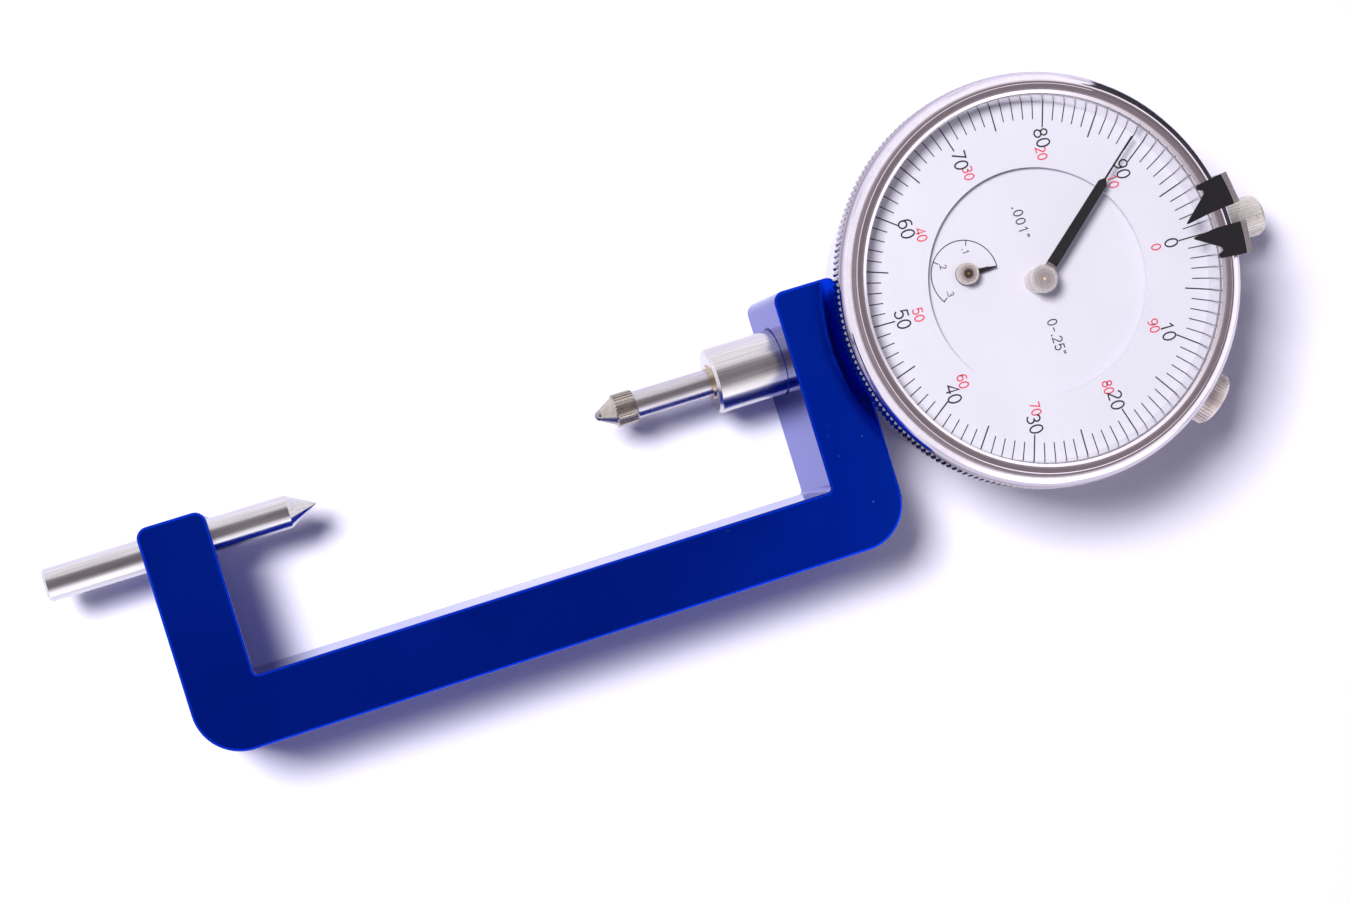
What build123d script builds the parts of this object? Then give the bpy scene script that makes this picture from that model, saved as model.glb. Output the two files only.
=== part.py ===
"""C-frame dial gauge: a rigid frame, a sliding point anvil and a 0.25 in dial indicator.

Units are millimetres.  +X runs along the measuring axis towards the dial,
+Y from the spine of the frame towards its arm tips, +Z out of the dial.
x = 0 is the middle of the right arm, y = 0 the measuring axis, z = 0 the
frame's flat back face.
"""
import os
from math import acos, atan2, cos, degrees, hypot, pi, radians, sin, sqrt, tan

from build123d import *

os.makedirs("parts", exist_ok=True)

# ------------------------------------------------------------------ sizes
# frame
T = 19.05                 # frame thickness
BAR = 9.525               # width of spine and arms
XR0, XR1 = -BAR / 2, BAR / 2
GAP = 83.5                # clear gap between the arms
XL1 = XR0 - GAP
XL0 = XL1 - BAR
YB1 = -19.7               # inner face of the spine
YB0 = YB1 - BAR
Y_TIP_L = 3.6             # tip of the anvil arm
Y_TIP_R = 9.2             # tip of the indicator arm
R_CORNER = 6.8
R_TIP = 1.6
EDGE = 0.45               # rounded edges of the frame
ZS = T / 2                # height of the measuring axis

# anvil rod
R_ROD = 2.38125
ANVIL_TIP = -73.2
ANVIL_BASE = ANVIL_TIP - R_ROD / tan(radians(30))
ROD_END = -111.5

# stem and spindle
R_STEM = 4.7625
STEM_END = -15.0
R_SPINDLE = 2.0
BUSH_END = -15.25
CONTACT_TIP = -32.4
KNURL0, KNURL1 = -29.6, -26.4
R_KNURL = 2.38
R_BALL = 0.80
FIT = 0.03                # radial running clearance

# lock screws
R_SET = 1.95

# indicator
XD = 31.0                 # dial axis
R_CASE = 25.4
R_CASE_IN = 23.4
Z_COVER0, Z_COVER1 = 1.0, 2.5
Z_DECK0, Z_DECK1 = 20.8, 22.4
Z_SHOULDER = 22.8
R_RIM = 24.6
R_RIM_IN = 22.0
Z_RIM = 24.2
R_BEZEL = 29.2
Z_BEZEL0, Z_BEZEL1 = 23.0, 29.0
N_KNURL = 216
R_DIAL = 25.75
Z_RING0, Z_RING1 = 24.5, 25.1
R_INNER = 16.0
Z_INNER0, Z_INNER1 = 23.7, 24.2
Z_CRYSTAL0, Z_CRYSTAL1 = 28.1, 28.75
CAP0, CAP1 = 60.9, 72.4
R_CAP = 3.05

# movement
TRAVEL = 6.35
PITCH = 0.79375                       # rack pitch, 1/32 in
R_PINION = 16 * PITCH / (2 * pi)      # 16-tooth pinion
DX1, DY1 = -9.75, 3.8                 # counter arbor from the dial axis
CD = hypot(DX1, DY1)
MOD = CD / 36                         # 60:12 wheel and pinion
A2 = radians(-30)                     # take-up arbor direction
DX2, DY2 = CD * cos(A2), CD * sin(A2)
Z_PLATE0, Z_PLATE1 = 12.2, 13.2
HAND_ANGLE = 39.7                     # main hand at rest
SUB_ANGLE = -2.0                      # counter hand at rest
CLAMP_ANGLE = -47.0
Z_CLAMP = 18.6


# ---------------------------------------------------------------- helpers
def cyl(x, y, z0, z1, r):
    return Pos(x, y, (z0 + z1) / 2) * Cylinder(r, z1 - z0)


def ring(x, y, z0, z1, ro, ri):
    return cyl(x, y, z0, z1, ro) - cyl(x, y, z0 - 1, z1 + 1, ri)


def cylx(x0, x1, r, y=0.0, z=ZS):
    return Pos((x0 + x1) / 2, y, z) * Rot(0, 90, 0) * Cylinder(r, x1 - x0)


def box(x0, x1, y0, y1, z0, z1):
    return Pos((x0 + x1) / 2, (y0 + y1) / 2, (z0 + z1) / 2) * Box(x1 - x0, y1 - y0, z1 - z0)


def lathe_z(pts, cx, cy):
    """Solid of revolution about Z: pts are (radius, z)."""
    face = make_face(Polyline([(r, 0, z) for r, z in pts], close=True))
    return Pos(cx, cy, 0) * revolve(face, Axis.Z, 360)


def lathe_x(pts):
    """Solid of revolution about the measuring axis: pts are (x, radius)."""
    face = make_face(Polyline([(x, r, 0) for x, r in pts], close=True))
    return Pos(0, 0, ZS) * revolve(face, Axis.X, 360)


def prism(pts, z0, z1):
    face = make_face(Polyline([(x, y, z0) for x, y in pts], close=True))
    return extrude(face, z1 - z0, dir=(0, 0, 1))


def knurl_pts(n, ro, ri, flat=0.30):
    """Outline of a straight knurl: n trapezoid ridges."""
    pts = []
    step = 2 * pi / n
    for i in range(n):
        a = i * step
        for f, r in ((-0.5 * flat, ro), (0.5 * flat, ro), (0.5 - 0.10, ri), (0.5 + 0.10, ri)):
            pts.append((r * cos(a + f * step), r * sin(a + f * step)))
    return pts


def gear_pts(n, m, add, ded, angle=25.0, thin=0.05, phase=0.0, steps=4):
    """Involute gear outline; a tooth is centred on the angle `phase` (radians)."""
    rp = n * m / 2
    rb = rp * cos(radians(angle))
    ra, rf = rp + add, rp - ded
    half = (pi * m / 2 - thin) / 2 / rp
    inv = lambda a: tan(a) - a
    ap = radians(angle)

    def half_at(r):
        if r < rb:
            return half + inv(ap)
        return half + inv(ap) - inv(acos(rb / r))

    pts = []
    for i in range(n):
        c = phase + 2 * pi * i / n
        r0 = max(rf, rb) if rb > rf else rf
        rs = [r0 + (ra - r0) * k / steps for k in range(steps + 1)]
        left = [(rf, -min(half_at(r0), pi / n * 0.93))] if rf < r0 - 1e-6 else []
        left += [(r, -half_at(r)) for r in rs]
        right = [(r, -a) for r, a in reversed(left)]
        for r, a in left + right:
            pts.append((r * cos(c + a), r * sin(c + a)))
    return pts


def shifted(pts, x, y):
    return [(px + x, py + y) for px, py in pts]


def save(shape, name):
    if isinstance(shape, (list, ShapeList)):
        shape = Compound(children=list(shape))
    solids = shape.solids()
    out = solids[0] if len(solids) == 1 else Compound(children=list(solids))
    out.label = name
    export_step(out, os.path.join("parts", name + ".step"))
    return out


# ------------------------------------------------------------------ frame
outline = [(XL0, YB0), (XR1, YB0), (XR1, Y_TIP_R), (XR0, Y_TIP_R), (XR0, YB1),
           (XL1, YB1), (XL1, Y_TIP_L), (XL0, Y_TIP_L)]
body = prism(outline, 0, T)


def upright(b, x, y):
    return [e for e in b.edges() if abs(e.bounding_box().size.Z - T) < 1e-3
            and abs(e.center().X - x) < 0.05 and abs(e.center().Y - y) < 0.05]


body = fillet(upright(body, XL0, YB0) + upright(body, XR1, YB0), R_CORNER)
body = fillet(upright(body, XL1, Y_TIP_L) + upright(body, XL0, Y_TIP_L)
              + upright(body, XR0, Y_TIP_R) + upright(body, XR1, Y_TIP_R), R_TIP)
body = fillet(upright(body, XL1, YB1) + upright(body, XR0, YB1), 0.6)
flat_edges = [e for e in body.edges() if e.bounding_box().size.Z < 1e-4]
body = fillet(flat_edges, EDGE)
body -= cylx(XR0 - 5, XR1 + 5, R_STEM + FIT)
body -= cylx(XL0 - 5, XL1 + 5, R_ROD + FIT)
for x, r, s in ((XR0, R_STEM, 1), (XR1, R_STEM, -1), (XL0, R_ROD, 1), (XL1, R_ROD, -1)):
    body -= lathe_x([(x - s * 0.01, 0), (x - s * 0.01, r + FIT + 0.30), (x + s * 0.30, r + FIT), (x + s * 0.30, 0)])
XLC = (XL0 + XL1) / 2


def from_tip(s):
    """Puts a shape drawn upward from z = 0 into the tip face of the indicator arm, pointing at the stem."""
    return Pos(0, Y_TIP_R, ZS) * Rot(90, 0, 0) * s


body -= cyl(XLC, 0, -1, ZS, R_SET + 0.05)
body -= lathe_z([(0, -0.01), (R_SET + 0.40, -0.01), (R_SET + 0.05, 0.36), (0, 0.36)], XLC, 0)
body -= from_tip(cyl(0, 0, -1, Y_TIP_R, R_SET + 0.05))
body -= from_tip(lathe_z([(0, -0.01), (R_SET + 0.40, -0.01), (R_SET + 0.05, 0.36), (0, 0.36)], 0, 0))
save(body, "frame")


def set_screw(x, z1):
    s = lathe_z([(0, 0.5), (R_SET - 0.25, 0.5), (R_SET, 0.75), (R_SET, z1 - 0.5), (R_SET - 0.5, z1), (0, z1)], x, 0)
    hexagon = [(1.15 * cos(radians(60 * k)), 1.15 * sin(radians(60 * k))) for k in range(6)]
    return s - prism(shifted(hexagon, x, 0), 0, 2.2)


save(from_tip(set_screw(0, Y_TIP_R - R_STEM - 0.06)), "stem_lock_screw")
save(set_screw(XLC, ZS - R_ROD - 0.06), "anvil_lock_screw")

rod = lathe_x([(ANVIL_TIP, 0), (ANVIL_TIP - 0.15, 0.10), (ANVIL_BASE, R_ROD), (ROD_END + 0.35, R_ROD),
               (ROD_END, R_ROD - 0.35), (ROD_END, 0)])
save(rod, "anvil_rod")

# ------------------------------------------------------------------- case
case = cyl(XD, 0, Z_COVER1 + 0.02, Z_SHOULDER, R_CASE)
case += cyl(XD, 0, Z_SHOULDER - 0.5, Z_RIM, R_RIM)
case -= cyl(XD, 0, 0, Z_DECK0, R_CASE_IN)
case -= cyl(XD, 0, Z_DECK1, 30, R_RIM_IN)
LUG_R = 21.5
lug_angles = (45, 135, 225, 315)
for a in lug_angles:
    lx, ly = XD + LUG_R * cos(radians(a)), LUG_R * sin(radians(a))
    case += cyl(lx, ly, Z_COVER1 + 0.02, 9.0, 2.1)
case -= cylx(XD - R_CASE - 1, XD - R_CASE_IN + 3, 3.42)          # stem seat
case -= cylx(XD - R_CASE - 2, XD - R_CASE + 0.9, R_STEM + 0.05)
case -= cylx(XD + R_CASE_IN - 2, XD + R_CASE + 1, 3.02)          # cap-side guide
case -= cyl(XD, 0, 20, 23, 0.86)
case -= cyl(XD + DX1, DY1, 20, 23, 0.81)
case -= cyl(XD + DX2, DY2, 20, 23, 0.54)
for a in lug_angles:
    lx, ly = XD + LUG_R * cos(radians(a)), LUG_R * sin(radians(a))
    case -= cyl(lx, ly, 0, 8.4, 0.83)
PILLARS = [(XD + 18.2 * cos(radians(a)), 18.2 * sin(radians(a))) for a in (25, 115, 250)]
for px, py in PILLARS:
    case -= cyl(px, py, 20, 23, 0.93)
FEET = [(XD + 12.0 * cos(radians(a)), 12.0 * sin(radians(a))) for a in (70, 200, 300)]
for px, py in FEET:
    case -= cyl(px, py, 20, 23, 0.83)
HS = (XD + DX2 + 6.3 * cos(radians(60)), DY2 + 6.3 * sin(radians(60)))
case -= cyl(HS[0], HS[1], 20, 23, 0.63)
# groove in the rim for the bezel's retaining ring
case -= ring(XD, 0, 23.35, 23.85, 26.0, 24.15)
# clamp screw hole
ca = radians(CLAMP_ANGLE)


def radial(r0, r1, r, z=Z_CLAMP):
    """Cylinder along the clamp direction, from radius r0 to r1 off the dial axis."""
    m = (r0 + r1) / 2
    return (Pos(XD + m * cos(ca), m * sin(ca), z) * Rot(0, 0, CLAMP_ANGLE) * Rot(0, 90, 0)
            * Cylinder(r, r1 - r0))


case -= radial(20, 30, 1.53)
save(case, "case")

stem = lathe_x([(STEM_END, 0), (STEM_END, R_STEM - 0.4), (STEM_END + 0.4, R_STEM),
                (XD - R_CASE + 0.86, R_STEM), (XD - R_CASE + 0.86, 3.40), (7.2, 3.40), (7.2, 0)])
stem -= cylx(-16, 8, 2.35)
stem -= cylx(-16, -9.6, 2.52)
save(stem, "stem")
save(cylx(BUSH_END, -9.7, 2.50) - cylx(-16, -9, R_SPINDLE + FIT), "stem_bushing")

bush = cylx(54.0, 60.6, 3.0) - cylx(53, 62, R_SPINDLE + FIT)
bush = chamfer([e for e in bush.edges() if abs(e.center().X - 60.6) < 1e-3 and e.bounding_box().size.Y > 5], 0.25)
save(bush, "upper_bushing")

cover = lathe_z([(0, Z_COVER0 + 0.25), (17.5, Z_COVER0 + 0.25), (17.8, Z_COVER0), (R_CASE - 0.7, Z_COVER0),
                 (R_CASE - 0.2, Z_COVER0 + 0.5), (R_CASE - 0.2, Z_COVER1), (0, Z_COVER1)], XD, 0)
for a in lug_angles:
    lx, ly = XD + LUG_R * cos(radians(a)), LUG_R * sin(radians(a))
    cover -= cyl(lx, ly, 0, 3, 0.85)
    cover -= cyl(lx, ly, 0, Z_COVER0 + 0.9, 1.66)
save(cover, "back_cover")
for k, a in enumerate(lug_angles, 1):
    lx, ly = XD + LUG_R * cos(radians(a)), LUG_R * sin(radians(a))
    s = cyl(lx, ly, Z_COVER0 + 0.1, Z_COVER0 + 0.88, 1.6) + cyl(lx, ly, Z_COVER0 + 0.5, 7.8, 0.8)
    s -= box(lx - 2, lx + 2, ly - 0.2, ly + 0.2, Z_COVER0, Z_COVER0 + 0.45)
    save(s, f"back_cover_screw_{k}")

inner = cyl(XD, 0, Z_INNER0, Z_INNER1, 17.4)
for px, py in FEET:
    inner += cyl(px, py, 21.2, Z_INNER0 + 0.1, 0.8)
inner -= cyl(XD, 0, 20, 26, 1.35)
inner -= cyl(XD + DX1, DY1, 20, 26, 1.10)
save(inner, "inner_dial")

# ---------------------------------------------------------------- movement
plate = cyl(XD, 0, Z_PLATE0, Z_PLATE1, 20.4)
plate -= cyl(XD - 2.0, -13.5, 10, 15, 4.6)
plate -= cyl(XD + 6.5, 12.6, 10, 15, 4.6)
plate -= cyl(XD, 0, 10, 15, 0.55)
plate -= cyl(XD + DX1, DY1, 10, 15, 0.81)
plate -= cyl(XD + DX2, DY2, 10, 15, 0.54)
for px, py in PILLARS:
    plate -= cyl(px, py, 10, 15, 0.85)
COCK = [(XD + DX1 - 4.4, 8.4), (XD + DX1 + 4.4, 8.4)]
for px, py in COCK:
    plate -= cyl(px, py, 10, 15, 0.65)
save(plate, "lower_plate")
for k, (px, py) in enumerate(PILLARS, 1):
    p = cyl(px, py, Z_PLATE1 + 0.01, Z_DECK0 - 0.01, 1.6) + cyl(px, py, Z_DECK0 - 0.5, Z_DECK1 - 0.2, 0.9)
    p -= cyl(px, py, 12, 17.5, 0.83)
    save(p, f"movement_pillar_{k}")
    s = cyl(px, py, 11.2, Z_PLATE0 - 0.01, 1.45) + cyl(px, py, Z_PLATE0 - 0.4, 17.0, 0.8)
    s -= box(px - 2, px + 2, py - 0.2, py + 0.2, 11.0, 11.55)
    save(s, f"plate_screw_{k}")

cock = box(XD + DX1 - 6.0, XD + DX1 + 6.0, 2.4, 10.2, 4.6, 5.8)
cock = fillet([e for e in cock.edges() if abs(e.bounding_box().size.Z - 1.2) < 1e-3], 1.5)
for px, py in COCK:
    cock += cyl(px, py, 5.0, Z_PLATE0 - 0.02, 1.3)
    cock -= cyl(px, py, 4.0, 13.0, 0.64)
cock -= cyl(XD + DX1, DY1, 4, 7, 0.50)
save(cock, "pinion_cock")
for k, (px, py) in enumerate(COCK, 1):
    s = cyl(px, py, 3.7, 4.58, 1.25) + cyl(px, py, 4.3, 13.1, 0.60)
    s -= box(px - 2, px + 2, py - 0.18, py + 0.18, 3.5, 4.05)
    save(s, f"cock_screw_{k}")

# counter arbor: a tooth of its pinion points straight down at the rack
ph_pinion = -pi / 2
ang12 = atan2(-DY1, -DX1)            # from counter arbor towards the dial axis
arbor = cyl(XD + DX1, DY1, 4.7, 6.2, 0.45) + cyl(XD + DX1, DY1, 6.1, 26.1, 0.75)
arbor += prism(shifted(gear_pts(16, PITCH / pi, 0.20, 0.31, thin=0.05, phase=ph_pinion), XD + DX1, DY1), 8.0, 11.0)
arbor += cyl(XD + DX1, DY1, 13.4, 14.0, 1.3)
save(arbor, "counter_arbor")

wheel = prism(shifted(gear_pts(60, MOD, 0.21, 0.34, thin=0.05, phase=ang12, steps=3), XD + DX1, DY1), 14.02, 14.8)
wheel -= cyl(XD + DX1, DY1, 13, 16, 0.77)
for k in range(5):
    a = radians(36 + 72 * k)
    wheel -= cyl(XD + DX1 + 4.6 * cos(a), DY1 + 4.6 * sin(a), 13, 16, 1.9)
save(wheel, "counter_wheel")

# centre arbor: its pinion has a gap facing each wheel
ang21 = ang12 + pi                   # from dial axis towards the counter arbor
ph_c = ang21 + pi / 12
centre = cyl(XD, 0, 12.3, 13.6, 0.50) + cyl(XD, 0, 13.5, 27.85, 0.80)
centre += prism(shifted(gear_pts(12, MOD, 0.21, 0.34, thin=0.05, phase=ph_c), XD, 0), 13.8, 17.0)
save(centre, "centre_arbor")

# take-up wheel, phased so that its tooth meets a gap of the centre pinion
step = 2 * pi / 12
a_dir = A2
gap_off = (a_dir - (ph_c + step / 2)) % step         # gap centre just behind the direction A2
if gap_off > step / 2:
    gap_off -= step
ph_t = a_dir + pi + gap_off / 5.0
take = prism(shifted(gear_pts(60, MOD, 0.21, 0.34, thin=0.05, phase=ph_t, steps=3), XD + DX2, DY2), 15.62, 16.4)
take -= cyl(XD + DX2, DY2, 15, 17, 0.62)
for k in range(5):
    a = radians(72 * k)
    take -= cyl(XD + DX2 + 4.6 * cos(a), DY2 + 4.6 * sin(a), 15, 17, 1.9)
save(take, "takeup_wheel")
tarbor = cyl(XD + DX2, DY2, 12.3, 13.6, 0.49) + cyl(XD + DX2, DY2, 13.5, 20.6, 0.60) \
    + cyl(XD + DX2, DY2, 20.4, 22.2, 0.49) + cyl(XD + DX2, DY2, 15.0, 15.6, 1.1)
save(tarbor, "takeup_arbor")
save(ring(XD + DX2, DY2, 17.4, 18.6, 1.25, 0.62), "hairspring_collet")

spiral_out, spiral_in = [], []
TURNS, R0S, R1S, TH = 5.0, 1.50, 5.60, 0.16
NSP = 180
for i in range(NSP + 1):
    f = i / NSP
    a = radians(60) + 2 * pi * TURNS * (f - 1)
    r = R0S + (R1S - R0S) * f
    spiral_out.append((XD + DX2 + (r + TH / 2) * cos(a), DY2 + (r + TH / 2) * sin(a)))
    spiral_in.append((XD + DX2 + (r - TH / 2) * cos(a), DY2 + (r - TH / 2) * sin(a)))
save(prism(spiral_out + spiral_in[::-1], 17.7, 18.3), "hairspring")
save(cyl(HS[0], HS[1], 17.2, 22.2, 0.60), "hairspring_stud")

# ---------------------------------------------------------------- plunger
spindle = cylx(KNURL1 + 0.02, CAP0 - 0.05, R_SPINDLE) + cylx(CAP0 - 1, 70.0, 1.2)
spindle -= cylx(KNURL1 - 1, -21.6, 1.03)
yp = DY1 - R_PINION                   # pitch line of the rack
xp = XD + DX1
ta = tan(radians(25))
half_gap = (PITCH / 2 + 0.05) / 2
Y_TOP, Y_ROOT = yp + 0.19, yp - 0.32
spindle -= box(11.6, 26.2, Y_TOP, 3, ZS - 3, ZS + 3)
for k in range(-11, 6):
    xc = xp + k * PITCH
    w_root = half_gap - (yp - Y_ROOT) * ta
    w_top = half_gap + (Y_TOP + 0.05 - yp) * ta
    spindle -= prism([(xc - w_root, Y_ROOT), (xc + w_root, Y_ROOT), (xc + w_top, Y_TOP + 0.05),
                      (xc - w_top, Y_TOP + 0.05)], ZS - 3, ZS + 3)
PIN_X = 27.9
spindle -= cyl(PIN_X, 0, 6, 8.7, 0.52)
save(spindle, "spindle")
save(cyl(PIN_X, 0, 4.1, 8.6, 0.50), "guide_pin")
save(cylx(35.4, 36.4, 2.45) - cylx(35, 37, R_SPINDLE + 0.02), "spring_collar")

block = box(26.6, 36.0, -2.5, 2.5, Z_COVER1 + 0.03, 6.6)
block -= box(PIN_X - 0.65, PIN_X + TRAVEL + 0.65, -0.56, 0.56, 3.8, 8)
save(block, "guide_block")

WIRE, COIL_R = 0.16, 2.25
S0, S1 = 36.45 + WIRE, 53.95 - WIRE
helix = Pos(S0, 0, ZS) * Rot(0, 90, 0) * Helix(pitch=(S1 - S0) / 12, height=S1 - S0, radius=COIL_R)
start = helix @ 0
spring = sweep(Plane(origin=start, z_dir=helix % 0) * Circle(WIRE), path=helix)
save(spring, "return_spring")

CUP = CONTACT_TIP + 2 * R_BALL + 0.1
core = lathe_x([(CONTACT_TIP + R_BALL + 0.02, R_BALL + 0.01), (CONTACT_TIP + R_BALL + 0.02, R_BALL + 0.12),
                (KNURL0 + 0.05, 2.05), (KNURL0 + 0.05, 2.0), (KNURL1 - 0.5, 2.0), (KNURL1 - 0.5, 1.0),
                (-22.0, 1.0), (-22.0, 0), (CUP, 0), (CUP, R_BALL + 0.01)])
kn = extrude(make_face(Polyline([(0, y, z) for y, z in knurl_pts(30, R_KNURL, R_KNURL - 0.16)], close=True)),
             KNURL1 - KNURL0, dir=(1, 0, 0))
kn = Pos(KNURL0, 0, ZS) * kn
kn = kn & lathe_x([(KNURL0 - 0.01, 0), (KNURL0 - 0.01, R_KNURL - 0.25), (KNURL0 + 0.25, R_KNURL + 0.02),
                   (KNURL1 - 0.25, R_KNURL + 0.02), (KNURL1 + 0.01, R_KNURL - 0.25), (KNURL1 + 0.01, 0)])
tip = kn.solids()[0] + core.solids()[0]
save(tip, "contact_point")
save(Pos(CONTACT_TIP + R_BALL, 0, ZS) * Sphere(R_BALL), "contact_ball")

cap = extrude(make_face(Polyline([(0, y, z) for y, z in knurl_pts(36, R_CAP, R_CAP - 0.17)], close=True)),
              CAP1 - CAP0, dir=(1, 0, 0))
cap = Pos(CAP0, 0, ZS) * cap
cap = cap & lathe_x([(CAP0, 0), (CAP0, R_CAP - 0.3), (CAP0 + 0.35, R_CAP + 0.02), (CAP1 - 0.9, R_CAP + 0.02),
                     (CAP1 - 0.35, R_CAP - 0.35), (CAP1, R_CAP - 1.1), (CAP1, 0)])
cap -= cylx(CAP0 - 1, 70.3, 1.22)
save(cap, "lifting_cap")

# ------------------------------------------------------------------ hands
hub1 = ring(XD + DX1, DY1, 24.97, 26.15, 1.5, 0.77)
save(hub1, "counter_hand_hub")


def blade(cx, cy, ang, pts, z0, z1, hole):
    b = prism(pts, z0, z1) + cyl(0, 0, z0, z1, hole + 0.75)
    b -= cyl(0, 0, z0 - 1, z1 + 1, hole)
    return Pos(cx, cy, 0) * Rot(0, 0, ang) * b


save(blade(XD + DX1, DY1, SUB_ANGLE, [(0, -0.42), (2.6, -0.32), (4.55, -0.10), (4.55, 0.10), (2.6, 0.32), (0, 0.42)],
           24.72, 24.95, 0.77), "counter_hand")
save(blade(XD, 0, HAND_ANGLE,
           [(0, -0.80), (16.4, -0.66), (17.1, -0.13), (24.3, -0.10), (24.45, 0.0), (24.3, 0.10), (17.1, 0.13),
            (16.4, 0.66), (0, 0.80)], 26.72, 26.95, 0.82), "main_hand")
hub = ring(XD, 0, 26.97, 27.9, 1.97, 0.82)
hub = chamfer([e for e in hub.edges() if abs(e.center().Z - 27.9) < 1e-3
                    and e.bounding_box().size.X > 3], 0.15)
save(hub, "main_hand_hub")
save(ring(XD, 0, 26.25, 26.70, 1.45, 0.82), "main_hand_collet")

# ------------------------------------------------------------------ bezel
ZK = 25.9                              # top of the knurled band
bez = prism(shifted(knurl_pts(N_KNURL, R_BEZEL, R_BEZEL - 0.28), XD, 0), Z_BEZEL0, ZK)
bez = bez & lathe_z([(0, Z_BEZEL0), (R_BEZEL - 0.35, Z_BEZEL0), (R_BEZEL + 0.02, Z_BEZEL0 + 0.35),
                     (R_BEZEL + 0.02, ZK - 0.25), (R_BEZEL - 0.35, ZK), (0, ZK)], XD, 0)
shoulder = [(27.30 + 1.84 * cos(radians(t)), 26.55 + 2.28 * sin(radians(t))) for t in range(0, 85, 6)]
top = lathe_z([(0, ZK - 0.5), (28.85, ZK - 0.5), (28.85, ZK + 0.12), (29.05, ZK + 0.25)] + shoulder
              + [(27.34, 28.80), (27.24, 28.80), (27.18, 28.94), (27.10, Z_BEZEL1), (26.25, Z_BEZEL1),
                 (25.8, Z_BEZEL1 - 0.22), (0, Z_BEZEL1 - 0.22)], XD, 0)
bez = bez + top
bez -= cyl(XD, 0, 20, Z_RING0 - 0.02, R_RIM + 0.3)
bez -= cyl(XD, 0, Z_RING0 - 0.02, 32, 25.8)
bez -= ring(XD, 0, 20, 26.3, 28.0, 26.4)
bez -= ring(XD, 0, 23.3, 23.9, 25.35, 24.0)
save(bez, "bezel")
rr = ring(XD, 0, 23.38, 23.82, 25.15, 24.25)
rr -= Pos(XD + 24.7, 0, 23.6) * Box(3, 2.2, 3)
save(rr, "bezel_retaining_ring")
save(ring(XD, 0, Z_RING0, Z_RING1, R_DIAL, R_INNER), "dial_ring")
save(lathe_z([(25.22, Z_RING1 + 0.02), (R_DIAL, Z_RING1 + 0.02), (R_DIAL, Z_CRYSTAL0 - 0.02), (25.62, Z_CRYSTAL0 - 0.02)],
             XD, 0), "crystal_spacer")
save(lathe_z([(0, Z_CRYSTAL0), (R_DIAL, Z_CRYSTAL0), (R_DIAL, Z_CRYSTAL1 - 0.25), (R_DIAL - 0.25, Z_CRYSTAL1),
              (0, Z_CRYSTAL1)], XD, 0), "crystal")


# ---------------------------------------------------------- tolerance hands
def at(a, u, v=0.0):
    """Point at radius u along the direction a (degrees), v to its left."""
    c, s = cos(radians(a)), sin(radians(a))
    return (XD + u * c - v * s, u * s + v * c)


def limit_hand(a_body, a_tip, r_tip, side):
    """Spring clip on the bezel: side +1 has its pointer at its clockwise edge."""
    top_pts = [at(a_body, 29.40, 2.28 * side), at(a_body, 26.35, 2.28 * side), at(a_body, 25.35, 2.22 * side),
               at(a_body, 25.25, 1.70 * side), at(a_body, 26.05, 1.25 * side), at(a_body, 25.9, 0.75 * side),
               at(a_tip, r_tip + 0.10, 0.18 * side), at(a_tip, r_tip, 0.0), at(a_tip, r_tip + 0.10, -0.12 * side),
               at(a_body, 25.6, -2.02 * side), at(a_body, 29.40, -2.28 * side)]
    s = prism(top_pts, 29.12, 29.50)
    flap = Pos(XD, 0, 0) * Rot(0, 0, a_body) * box(29.42, 30.20, -2.28, 2.28, 24.3, 29.50)
    bridge = Pos(XD, 0, 0) * Rot(0, 0, a_body) * box(29.30, 29.50, -2.28, 2.28, 29.12, 29.50)
    s = s + flap + bridge
    return s


save(limit_hand(8.9, 3.9, 21.9, 1), "tolerance_hand_a")
save(limit_hand(-5.1, -2.0, 22.2, -1), "tolerance_hand_b")

# ------------------------------------------------------------- bezel clamp
blk = Pos(XD, 0, 0) * Rot(0, 0, CLAMP_ANGLE) * box(24.0, 28.9, -3.3, 3.3, 15.0, 22.5)
blk = fillet([e for e in blk.edges() if abs(e.bounding_box().size.Z - 7.5) < 1e-3
              and hypot(e.center().X - XD, e.center().Y) > 28], 1.0)
blk -= cyl(XD, 0, 10, 30, R_CASE + 0.02)
blk -= radial(20, 32, 1.53)
save(blk, "bezel_clamp_bracket")
knob = extrude(make_face(Polyline([(0, y, z) for y, z in knurl_pts(44, 3.92, 3.72)], close=True)), 3.7, dir=(1, 0, 0))
knob = Pos(29.3, 0, Z_CLAMP) * knob
prof = make_face(Polyline([(29.3, 0, 0), (29.3, 3.6, 0), (29.65, 3.95, 0), (32.5, 3.95, 0), (33.0, 3.45, 0),
                           (33.0, 0, 0)], close=True))
knob = knob & (Pos(0, 0, Z_CLAMP) * revolve(prof, Axis.X, 360))
knob += Pos((22.0 + 29.5) / 2, 0, Z_CLAMP) * Rot(0, 90, 0) * Cylinder(1.5, 7.5)
save(Pos(XD, 0, 0) * Rot(0, 0, CLAMP_ANGLE) * knob, "bezel_clamp_screw")

print("saved", len(os.listdir("parts")))
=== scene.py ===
import math
import bmesh
import bpy
from mathutils import Matrix, Vector


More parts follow.
